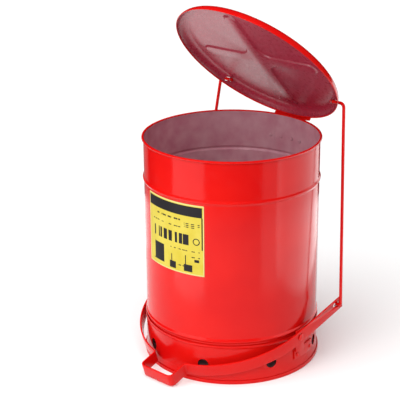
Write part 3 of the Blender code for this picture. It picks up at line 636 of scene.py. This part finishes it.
def cross_panel(level, rib_end):
    """A cross-shaped face with a rounded outline, pressed down through a smooth slope."""
    bpy.ops.object.select_all(action="DESELECT")
    bpy.ops.mesh.primitive_plane_add(size=2 * RIB_HALF, location=(0, AXIS_Y, level))
    piece = begin("lid_panel")
    for way in (Vector((1, 0, 0)), Vector((-1, 0, 0)), Vector((0, 1, 0)), Vector((0, -1, 0))):
        side = place_of(0, 0, level) + way * RIB_HALF
        pick(piece, "edges", lambda e, at=side: (middle(e) - at).length < SAME)
        reach = way * (rib_end - RIB_HALF)
        bpy.ops.mesh.extrude_region_move(TRANSFORM_OT_translate={"value": reach})
    bpy.ops.mesh.select_all(action="SELECT")
    bpy.ops.mesh.dissolve_faces()
    for out, radius, steps in ((RIB_HALF, RIB_FILLET, 12), (rib_end, RIB_HALF * 0.98, 14)):
        pick(piece, "verts", lambda v, at=out: abs(
            max(abs(v.co.x), abs(v.co.y - AXIS_Y)) - at) < SAME)
        bpy.ops.mesh.bevel(offset=radius, offset_type="OFFSET", segments=steps, profile=0.5,
                           affect="VERTICES")
    bpy.ops.mesh.select_mode(type="FACE")
    bpy.ops.mesh.select_all(action="SELECT")
    steps = 9
    for i in range(steps):
        first = 0.5 - 0.5 * math.cos(math.pi * i / steps)
        last = 0.5 - 0.5 * math.cos(math.pi * (i + 1) / steps)
        bpy.ops.mesh.inset(thickness=RIB_SLOPE / steps, depth=-RIB_DEPTH * (last - first))
    bpy.ops.object.mode_set(mode="OBJECT")
    return piece


def lid_skin(top, lip, lid_r):
    """Both skins and the folded hem in one turned chain, open where the panels go."""
    corner_r = lid_r - LID_CORNER
    corner_z = top - LID_CORNER
    hem_angle = math.asin((lip + HEM_START - corner_z) / LID_CORNER)
    hem_r = corner_r + LID_CORNER * math.cos(hem_angle) - LID_HEM_R
    profile = arc(corner_r, corner_z, LID_CORNER, 90.0, math.degrees(hem_angle), 22)
    profile += arc(hem_r, lip + LID_HEM_R, LID_HEM_R, 0.0, -180.0, 8)[1:]
    profile += [(hem_r - LID_HEM_R, lip + HEM_END)]
    profile += arc(corner_r, corner_z, LID_CORNER - SHEET, 18.0, 90.0, 18)
    return turn("lid_shell", profile)


def lid(paint, under_coat):
    top = shut_height("lid_pan", max)
    lip = shut_height("lid_pan", min)
    lid_r = max(vert.co.x for vert in frame["nodes"]["lid_pan"].data.vertices)
    corner_r = lid_r - LID_CORNER
    corner_z = top - LID_CORNER
    shell = lid_skin(top, lip, lid_r)
    levels = (top, top - SHEET)
    panels = [cross_panel(level, lid_r - RIB_END_GAP) for level in levels]
    bpy.ops.object.select_all(action="DESELECT")
    for part in [shell] + panels:
        part.select_set(True)
    bpy.context.view_layer.objects.active = shell
    bpy.ops.object.join()
    bpy.ops.object.mode_set(mode="EDIT")
    for level in levels:
        pick(shell, "edges", lambda e, at=level: is_border(e) and abs(
            middle(e).z - at) < 10 * SAME)
        bpy.ops.mesh.fill(use_beauty=True)
    close_up(shell)
    point_outwards(shell)
    hook = open_lid_turn().inverted() @ HOOK
    hook_r = corner_r + (LID_CORNER - SHEET) * HOOK_OUT
    for side in (1, -1):
        hole = round_bar("link_hole", LINK_HOLE_R, 0.03)
        wall_x = math.sqrt(hook_r ** 2 - (hook.y - AXIS_Y) ** 2)
        move_to(hole, along((side, 0, 0), (side * wall_x, hook.y, hook.z)))
        cut(shell, hole)
    smooth(shell)
    coat_with(shell, paint, under_coat)

    def under(normal, centre):
        """Faces of the lid's inner skin, above the hem."""
        out = Vector((centre.x, centre.y - AXIS_Y, 0.0)).length
        if out > corner_r:
            from_corner = Vector((out - corner_r, centre.z - corner_z)).length
            return from_corner < LID_CORNER - 0.4 * SHEET and centre.z > lip + 0.002
        return normal.z < -0.1

    coat_inside(shell, under)
    move_to(shell, open_lid_turn())
    hang(shell, "lid", "red_enamel", "lid_pan")


# ------------------------------------------------------------ foot lever
def lever_slope():
    return math.atan2(PIVOT.z - PEDAL_Z, STRAP_R + (PIVOT.y - AXIS_Y) + PEDAL_OUT)


def lever_place():
    """From the level lever, its pivot at the origin, to its sloping place."""
    return Matrix.Translation(PIVOT) @ Matrix.Rotation(lever_slope(), 4, "X")


def arm_x(reach, bow_centre):
    return STRAP_R + ARM_SPLAY * (reach - bow_centre) / (EYE_REACH + ARM_TAIL - bow_centre)


def lever_line(bow_centre, stretch):
    """The bar's line along its lower edge: half an ellipse drawn out to the arms and the pedal."""
    low = -STRAP_WIDTH / 2
    bpy.ops.object.select_all(action="DESELECT")
    bpy.ops.mesh.primitive_circle_add(vertices=BOW_POINTS, radius=STRAP_R,
                                      location=(0, bow_centre, low))
    bpy.context.active_object.scale.y = stretch
    bar = begin("lever_bar")
    pick(bar, "verts", lambda v: v.co.y > bow_centre + SAME or (
        v.co.y < bow_centre and abs(v.co.x) < PEDAL_HALF + ROOT_GAP))
    bpy.ops.mesh.delete(type="VERT")
    bow_half = STRAP_R * stretch
    root_u = bow_centre - bow_half * math.sqrt(1.0 - (PEDAL_HALF / STRAP_R) ** 2)
    pedal_u = bow_centre - bow_half - PEDAL_OUT * stretch
    behind = bow_centre - 0.01     # between the arms' ends and the pedal's root
    for side in (1, -1):
        pick(bar, "verts", lambda v, s=side: (
            len(v.link_edges) == 1 and v.co.x * s > 0.0 and v.co.y > behind))
        arm = Vector((side * ARM_SPLAY, EYE_REACH + ARM_TAIL - bow_centre, 0.0))
        bpy.ops.mesh.extrude_vertices_move(TRANSFORM_OT_translate={"value": arm})
        pick(bar, "verts", lambda v, s=side: (
            len(v.link_edges) == 1 and v.co.x * s > 0.0 and v.co.y < behind))
        here = [v.co.copy() for v in bmesh.from_edit_mesh(bar.data).verts if v.select][0]
        for stop in (Vector((side * PEDAL_HALF, root_u, low)),
                     Vector((side * PEDAL_HALF, pedal_u, low))):
            bpy.ops.mesh.extrude_vertices_move(TRANSFORM_OT_translate={"value": stop - here})
            here = stop
    pick(bar, "verts", lambda v: abs(v.co.y - pedal_u) < SAME)
    bpy.ops.mesh.edge_face_add()
    return bar, root_u, pedal_u


def foot_lever(paint):
    """One flat bar on edge, bent into two arms, a bow round the skirt and the pedal loop."""
    stretch = 1.0 / math.cos(lever_slope())
    bow_centre = (AXIS_Y - PIVOT.y) * stretch
    bar, root_u, pedal_u = lever_line(bow_centre, stretch)
    bpy.ops.mesh.select_all(action="SELECT")
    bpy.ops.mesh.extrude_edges_move(TRANSFORM_OT_translate={"value": (0, 0, STRAP_WIDTH)})
    bpy.ops.mesh.select_all(action="SELECT")
    bpy.ops.mesh.normals_make_consistent(inside=False)
    for corner_u, reach, steps in ((root_u, ROOT_BEND, 6), (pedal_u, PEDAL_BEND, 9)):
        pick(bar, "edges", lambda e, u=corner_u: (
            abs(middle(e).z) < SAME and abs(middle(e).y - u) < SAME))
        bpy.ops.mesh.bevel(offset=reach, segments=steps, profile=0.5, affect="EDGES")
    bpy.ops.mesh.select_all(action="SELECT")
    bpy.ops.mesh.normals_make_consistent(inside=False)
    bpy.ops.object.mode_set(mode="OBJECT")
    apply_modifier(bar, "SOLIDIFY", thickness=STRAP_THICK, offset=0.0, use_even_offset=True)
    soften(bar, STRAP_EASE, 3)
    level = Matrix.Rotation(-lever_slope(), 4, "X")
    upright = Matrix.Rotation(math.pi / 2, 4, "Y")
    eye_x = arm_x(EYE_REACH, bow_centre)
    for side in (1, -1):
        hole = round_bar("pin_hole", PIN_HOLE_R, 0.02, SMALL_POINTS)
        move_to(hole, along((side, 0, 0), (side * STRAP_R, 0, 0)))
        cut(bar, hole)
        slot = round_bar("eye_slot", EYE_HALF, 0.02, SMALL_POINTS)
        edit(slot)
        pick(slot, "verts", lambda v: v.co.y < -SAME)
        bpy.ops.transform.translate(value=(0, -EYE_TRAVEL, 0))
        bpy.ops.object.mode_set(mode="OBJECT")
        place = Matrix.Translation((side * eye_x, EYE_REACH, 0.0)) @ level
        move_to(slot, place @ Matrix.Translation((0, 0, EYE_LIFT)) @ upright)
        cut(bar, slot)
    move_to(bar, lever_place())
    coat_with(bar, paint)
    hang(bar, "foot_lever", "red_enamel", "foot_lever")


# ------------------------------------------------------------ link rods
def rounded(points, radii, steps=10):
    """The polyline with its inner corners turned into arcs."""
    out = [points[0]]
    for before, corner, after, radius in zip(points, points[1:], points[2:], radii):
        back = (before - corner).normalized()
        ahead = (after - corner).normalized()
        half = back.angle(ahead) / 2
        centre = corner + (back + ahead).normalized() * (radius / math.sin(half))
        first = (corner + back * (radius / math.tan(half)) - centre).normalized()
        last = (corner + ahead * (radius / math.tan(half)) - centre).normalized()
        out += [centre + first.slerp(last, i / steps) * radius for i in range(steps + 1)]
    out.append(points[-1])
    return out


def link_rods(paint):
    """A round rod, bent in at both ends, and its mirror image."""
    eye_y = rod_low.y + ROD_R
    eye_z = rod_low.z + ROD_R
    foot_x = rod_high.x - ROD_R
    route = rounded([Vector((rod_low.x, HOOK.y, HOOK.z)), Vector((ROD_TOP_X, HOOK.y, HOOK.z)),
                     Vector((foot_x, eye_y, eye_z)),
                     Vector((foot_x - ROD_FOOT_TAIL, eye_y, eye_z))], (ROD_BEND, ROD_FOOT_BEND))
    bpy.ops.object.select_all(action="DESELECT")
    bpy.ops.curve.primitive_nurbs_path_add()
    wire = bpy.context.active_object
    wire.data.splines.clear()
    spline = wire.data.splines.new("POLY")
    spline.points.add(len(route) - 1)
    for point, place in zip(spline.points, route):
        point.co = (*place, 1.0)
    wire.data.bevel_depth = ROD_R
    wire.data.bevel_resolution = 8
    wire.data.use_fill_caps = True
    bpy.ops.object.convert(target="MESH")
    right = begin("link_wire_right")
    close_up(right)
    soften(right, ROD_EASE, 2, 60.0)
    for rod, letter in ((right, "right"), (mirrored_copy(right, "link_wire_left"), "left")):
        coat_with(rod, paint)
        hang(rod, "link_" + letter, "red_enamel", "link_rod_" + letter)


def push_nuts(place_name, steel):
    """A push-on nut on each rod: a dished disc with a turned collar."""
    low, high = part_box("link_clip_%s_right" % place_name)
    thick = high.x - low.x
    outer = (high.y - low.y) / 2
    bore = ROD_R + 0.0003
    profile = [(bore, 0.0), (outer - 0.0004, 0.0), (outer, 0.0003), (outer, 0.0006),
               (outer - 0.0003, 0.0008), (bore + 0.0012, 0.0008), (bore + 0.0007, thick),
               (bore, thick)]
    pattern = turn("push_nut", profile, SMALL_POINTS, 0.0, "joined")
    places = []
    nodes = []
    for letter in ("right", "left"):
        node = "link_clip_%s_%s" % (place_name, letter)
        low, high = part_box(node)
        facing = 1.0 if (low.x > 0.0) == (place_name == "foot") else -1.0
        start = low.x if facing > 0.0 else high.x
        spot = (start, (low.y + high.y) / 2, (low.z + high.z) / 2)
        places.append(("push_nut_%s_%s" % (place_name, letter), along((facing, 0, 0), spot)))
        nodes.append((node, "link_" + letter))
    for nut, (node, body) in zip(copies_at(pattern, places), nodes):
        coat_with(nut, steel)
        hang(nut, body, "zinc_steel", node)


# ------------------------------------------------------------ pins and rivets
def snap_rivet(length, head, shank, dome, coated_inside):
    """A rivet up from the origin: a flat set head below, a low dome above."""
    under = length - dome
    set_head = dome * 0.6
    profile = [(head * 0.55, 0.0), (head * 0.78, set_head * 0.4), (head * 0.80, set_head),
               (shank, set_head), (shank, under), (head, under), (head, under + dome * 0.12)]
    steps = 8
    for i in range(1, steps):
        a = math.pi / 2 * i / steps
        profile.append((head * math.cos(a), under + dome * (0.12 + 0.88 * math.sin(a))))
    rivet = turn("rivet", profile, 40, 0.0, "capped")
    if coated_inside:
        coat_inside(rivet, lambda normal, centre: centre.z < set_head + SAME)
    return rivet


def set_rivets(wanted, body, slot, materials, head=RIVET_HEAD, shank=RIVET_SHANK,
               dome=RIVET_DOME):
    """Model one rivet and put a copy at each (name, node, direction) of wanted."""
    spans = [axis_span(node, direction) for name, node, direction in wanted]
    length = (spans[0][1] - spans[0][0]).length
    pattern = snap_rivet(length, head, shank, dome, len(materials) > 1)
    places = [(name, along(direction, tail))
              for (name, node, direction), (tail, crown) in zip(wanted, spans)]
    for rivet, (name, node, direction) in zip(copies_at(pattern, places), wanted):
        coat_with(rivet, *materials)
        hang(rivet, body, slot, node)


def radial_of(node):
    low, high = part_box(node)
    centre = (low + high) / 2
    return Vector((centre.x, centre.y - AXIS_Y, 0.0)).normalized()


def fasteners(paint, coat, under_coat, steel):
    lid_up = open_lid_turn().to_3x3() @ Vector((0, 0, 1))
    wanted = [("drum_hinge_rivet_%d" % i, "hinge_body_rivet_%d" % i) for i in range(1, 5)]
    set_rivets([(name, node, radial_of(node)) for name, node in wanted], "can", "red_enamel",
               (paint, coat))
    set_rivets([("lid_hinge_rivet_%d" % i, "hinge_lid_rivet_%d" % i, lid_up)
                for i in range(1, 5)], "lid", "red_enamel", (paint, under_coat))
    set_rivets([("hinge_rod_pin", "hinge_pin", (1, 0, 0))], "can", "zinc_steel", (steel,),
               HINGE_ROD_HEAD, HINGE_ROD_R, HINGE_ROD_DOME)
    wanted = [("skirt_rivet_%s_%d" % (letter, i), "bracket_rivet_%s_%d" % (letter, i))
              for letter in ("right", "left") for i in (1, 2)]
    set_rivets([(name, node, radial_of(node)) for name, node in wanted], "can", "red_enamel",
               (paint,))
    set_rivets([("pivot_stud_right", "pivot_pin_right", (1, 0, 0)),
                ("pivot_stud_left", "pivot_pin_left", (-1, 0, 0))], "can", "zinc_steel",
               (paint,), STUD_HEAD, STUD_R, STUD_DOME)


def pivot_rings(steel):
    """A flat washer between each bracket and the foot lever."""
    low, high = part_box("pivot_washer_right")
    thick = high.x - low.x
    outer = (high.y - low.y) / 2
    ease = WASHER_EASE
    pattern = turn("pivot_ring",
                   [(PIN_HOLE_R, 0.0), (outer - ease, 0.0), (outer, ease), (outer, thick - ease),
                    (outer - ease, thick), (PIN_HOLE_R, thick)], SMALL_POINTS, 0.0, "joined")
    places = [("pivot_ring_" + letter, along((1, 0, 0), (
        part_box("pivot_washer_" + letter)[0].x, PIVOT.y, PIVOT.z))) for letter in ("right", "left")]
    for washer, letter in zip(copies_at(pattern, places), ("right", "left")):
        coat_with(washer, steel)
        hang(washer, "can", "zinc_steel", "pivot_washer_" + letter)


def brackets_and_leaves(paint):
    for name, node, body in (("drum_hinge_leaf", "hinge_body_leaf", "can"),
                             ("lid_hinge_leaf", "hinge_lid_leaf", "lid"),
                             ("pivot_bracket_plate_right", "pivot_bracket_right", "can"),
                             ("pivot_bracket_plate_left", "pivot_bracket_left", "can")):
        piece = softened_copy(name, node, PLATE_EASE)
        coat_with(piece, paint)
        hang(piece, body, "red_enamel", node)


# ------------------------------------------------------------ label
def label_film():
    """Yellow film with a dark band, a thin border, rows of plain marks and blank picture boxes.

    Across and up run from -1 to 1 over the label.
    """
    film = Finish("label_film", (0.56, 0.47, 0.06), 0.38)
    film.shader.inputs["Specular IOR Level"].default_value = 0.08
    low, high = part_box("label_plate")
    half = math.asin(high.x / (DRUM_R + 2 * LABEL_THICK))
    parts = film.nodes.new("ShaderNodeSeparateXYZ")
    film.links.new(film.place, parts.inputs["Vector"])
    from_axis = film.maths("SUBTRACT", AXIS_Y, parts.outputs["Y"])
    angle = film.maths("ARCTAN2", parts.outputs["X"], from_axis)
    across = film.maths("DIVIDE", angle, half)
    up = film.ramp(parts.outputs["Z"], low.z, high.z, -1.0, 1.0)

    def patch(x_first, x_last, y_first, y_last):
        wide = film.maths("COMPARE", across, (x_first + x_last) / 2, (x_last - x_first) / 2)
        tall = film.maths("COMPARE", up, (y_first + y_last) / 2, (y_last - y_first) / 2)
        return film.maths("MULTIPLY", wide, tall)

    def ring(x_middle, y_middle, radius):
        x_away = film.maths("SUBTRACT", across, x_middle)
        y_away = film.maths("SUBTRACT", up, y_middle)
        square = film.maths("ADD", film.maths("MULTIPLY", x_away, x_away),
                            film.maths("MULTIPLY", y_away, y_away))
        return film.maths("COMPARE", square, radius * radius, 0.0024)

    def together(first, *others):
        for other in others:
            first = film.maths("MAXIMUM", first, other)
        return first

    chunks = film.ramp(film.noise(260.0, 1.0, (1.0, 1.0, 0.02)), 0.44, 0.50, 0.0, 1.0)
    rows = [patch(-0.60, 0.30, 0.50, 0.545), patch(0.42, 0.88, 0.44, 0.465),
            patch(0.42, 0.88, 0.39, 0.415), patch(0.42, 0.80, 0.34, 0.365),
            patch(-0.88, -0.30, 0.30, 0.33), patch(-0.10, 0.30, 0.30, 0.33),
            patch(-0.88, -0.56, -0.86, -0.83), patch(-0.05, 0.88, -0.335, -0.31),
            patch(0.12, 0.40, -0.80, -0.77), patch(0.62, 0.88, -0.50, -0.47)]
    small_marks = film.maths("MULTIPLY", together(*rows), chunks)
    bold = film.ramp(film.noise(210.0, 0.0, (1.0, 1.0, 0.02)), 0.42, 0.46, 0.0, 1.0)
    heading = film.maths("MULTIPLY", patch(-0.80, 0.64, -0.16, 0.14), bold)
    boxes = together(patch(-0.72, -0.30, -0.86, -0.34), patch(-0.08, 0.14, -0.92, -0.72),
                     patch(0.40, 0.66, -0.92, -0.72), ring(0.78, -0.03, 0.088),
                     patch(-0.02, 0.01, -0.72, -0.52), patch(0.44, 0.47, -0.72, -0.46),
                     patch(0.72, 0.86, -0.62, -0.54))
    dark = together(patch(-0.97, 0.95, 0.66, 0.945), patch(0.93, 0.965, -0.25, 0.66), boxes,
                    small_marks, heading)
    frame_line = film.maths("SUBTRACT", 1.0, patch(-0.965, 0.975, -0.965, 0.965))
    fade = film.ramp(film.noise(30.0, 3.0), 0.3, 0.7, 0.0, 1.0)
    yellow = film.mix(fade, (0.53, 0.42, 0.04), (0.60, 0.50, 0.08))
    cream = film.mix(frame_line, yellow, (0.60, 0.54, 0.20))
    film.set("Base Color", film.mix(dark, cream, (0.016, 0.014, 0.016)))
    return film.material


def label(film):
    low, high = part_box("label_plate")
    half = math.asin(high.x / (DRUM_R + 2 * LABEL_THICK))
    sheet = curved_plate("label_sheet", DRUM_R + LABEL_THICK, low.z, high.z,
                         -math.pi / 2 - half, 2 * half, 64, LABEL_THICK)
    coat_with(sheet, film)
    hang(sheet, "can", "label_yellow", "label_plate")


# ------------------------------------------------------------ studio
def camera():
    lens = bpy.data.cameras.new("studio_camera")
    lens.lens = CAMERA_LENS
    lens.sensor_width = 36.0
    view = bpy.data.objects.new("studio_camera", lens)
    bpy.context.scene.collection.objects.link(view)
    spot = place_of(CAMERA_OUT * math.sin(CAMERA_TURN), -CAMERA_OUT * math.cos(CAMERA_TURN),
                    CAMERA_UP)
    turn_round = Matrix.Rotation(CAMERA_TURN + CAMERA_PAN, 4, "Z")
    tilt = Matrix.Rotation(math.pi / 2 - CAMERA_TILT, 4, "X")
    view.matrix_world = Matrix.Translation(spot) @ turn_round @ tilt @ Matrix.Rotation(
        CAMERA_ROLL, 4, "Z")
    bpy.context.scene.camera = view


def add_lamp(name, kind, place, aim_back):
    """A lamp the camera doesn't see, shining away from aim_back."""
    lamp = bpy.data.lights.new(name, kind)
    holder = bpy.data.objects.new(name, lamp)
    bpy.context.scene.collection.objects.link(holder)
    turned = aim_back.to_track_quat("Z", "Y").to_matrix().to_4x4()
    holder.matrix_world = Matrix.Translation(place) @ turned
    holder.visible_camera = False
    return holder


def from_camera(angle, rise=0.0):
    """A direction at an angle round from the camera's side and a rise above the floor."""
    turned = CAMERA_TURN + angle
    return Vector((math.sin(turned) * math.cos(rise), -math.cos(turned) * math.cos(rise),
                   math.sin(rise)))


def reflected_box(name, angle, distance, high, width, radiance):
    """An upright soft box that only shows as a reflection in the gloss."""
    out = from_camera(math.radians(angle))
    holder = add_lamp(name, "AREA", place_of(0, 0, high / 2) + out * distance, out)
    lamp = holder.data
    lamp.shape = "RECTANGLE"
    lamp.size = width
    lamp.size_y = high
    lamp.energy = radiance * math.pi * width * high
    holder.visible_diffuse = False


def soft_lamp(name, kind, angle, rise, distance, energy):
    """A lamp that lights the surfaces but leaves no reflection of its own."""
    back = from_camera(math.radians(angle), math.radians(rise))
    holder = add_lamp(name, kind, place_of(0, 0, 0.2) + back * distance, back)
    holder.data.energy = energy
    holder.visible_glossy = False
    return holder.data


def floor_piece(name, radius, hole, material):
    bpy.ops.object.select_all(action="DESELECT")
    bpy.ops.mesh.primitive_circle_add(vertices=FLOOR_POINTS, radius=radius,
                                      location=(0, AXIS_Y, 0.0))
    piece = begin(name)
    if hole:
        bpy.ops.mesh.extrude_edges_move(TRANSFORM_OT_translate={"value": (0, 0, 0)})
        share = hole / radius
        bpy.ops.transform.resize(value=(share, share, 1.0), center_override=(0, AXIS_Y, 0.0))
    else:
        bpy.ops.mesh.edge_face_add()
    bpy.ops.mesh.select_all(action="SELECT")
    bpy.ops.mesh.normals_make_consistent(inside=False)
    bpy.ops.object.mode_set(mode="OBJECT")
    piece.data.materials.append(material)
    return piece


def studio():
    pale = Finish("studio_paper", (0.86, 0.86, 0.86), 0.9)
    pale.shader.inputs["Specular IOR Level"].default_value = 0.0
    floor_piece("studio_floor_near", NEAR_FLOOR_R, 0.0, pale.material)
    far = floor_piece("studio_floor_far", FAR_FLOOR_R, NEAR_FLOOR_R, pale.material)
    far.visible_glossy = False
    world = bpy.data.worlds.new("studio_air")
    world.use_nodes = True
    air = world.node_tree.nodes["Background"]
    air.inputs["Color"].default_value = (1.0, 1.0, 1.0, 1.0)
    air.inputs["Strength"].default_value = 0.45
    bpy.context.scene.world = world
    world.cycles_visibility.glossy = False
    sun = soft_lamp("high_sun", "SUN", angle=-25, rise=62, distance=3.0, energy=2.85)
    sun.angle = math.radians(75)
    key = soft_lamp("side_key", "AREA", angle=-48, rise=25, distance=1.6, energy=10.0)
    key.size = 1.2
    for name, angle, distance, high, width, radiance in (
            ("left_box", -50, 0.55, 0.50, 0.40, 1.9),
            ("right_box", 97, 0.50, 0.52, 0.95, 2.0),
            ("right_edge_box", 46, 0.60, 0.50, 0.26, 1.0),
            ("back_box", -150, 0.60, 0.50, 0.55, 0.3)):
        reflected_box(name, angle, distance, high, width, radiance)
    bpy.context.scene.view_settings.view_transform = "Standard"


paint = red_enamel()
coat = drum_inside()
under_coat = lid_underside()
steel = zinc()
drum(paint, coat)
drum_floor(coat)
seam(coat)
skirt(paint, coat)
base_ring(paint)
lid(paint, under_coat)
foot_lever(paint)
link_rods(paint)
push_nuts("top", steel)
push_nuts("foot", steel)
fasteners(paint, coat, under_coat, steel)
pivot_rings(steel)
brackets_and_leaves(paint)
label(label_film())
camera()
studio()
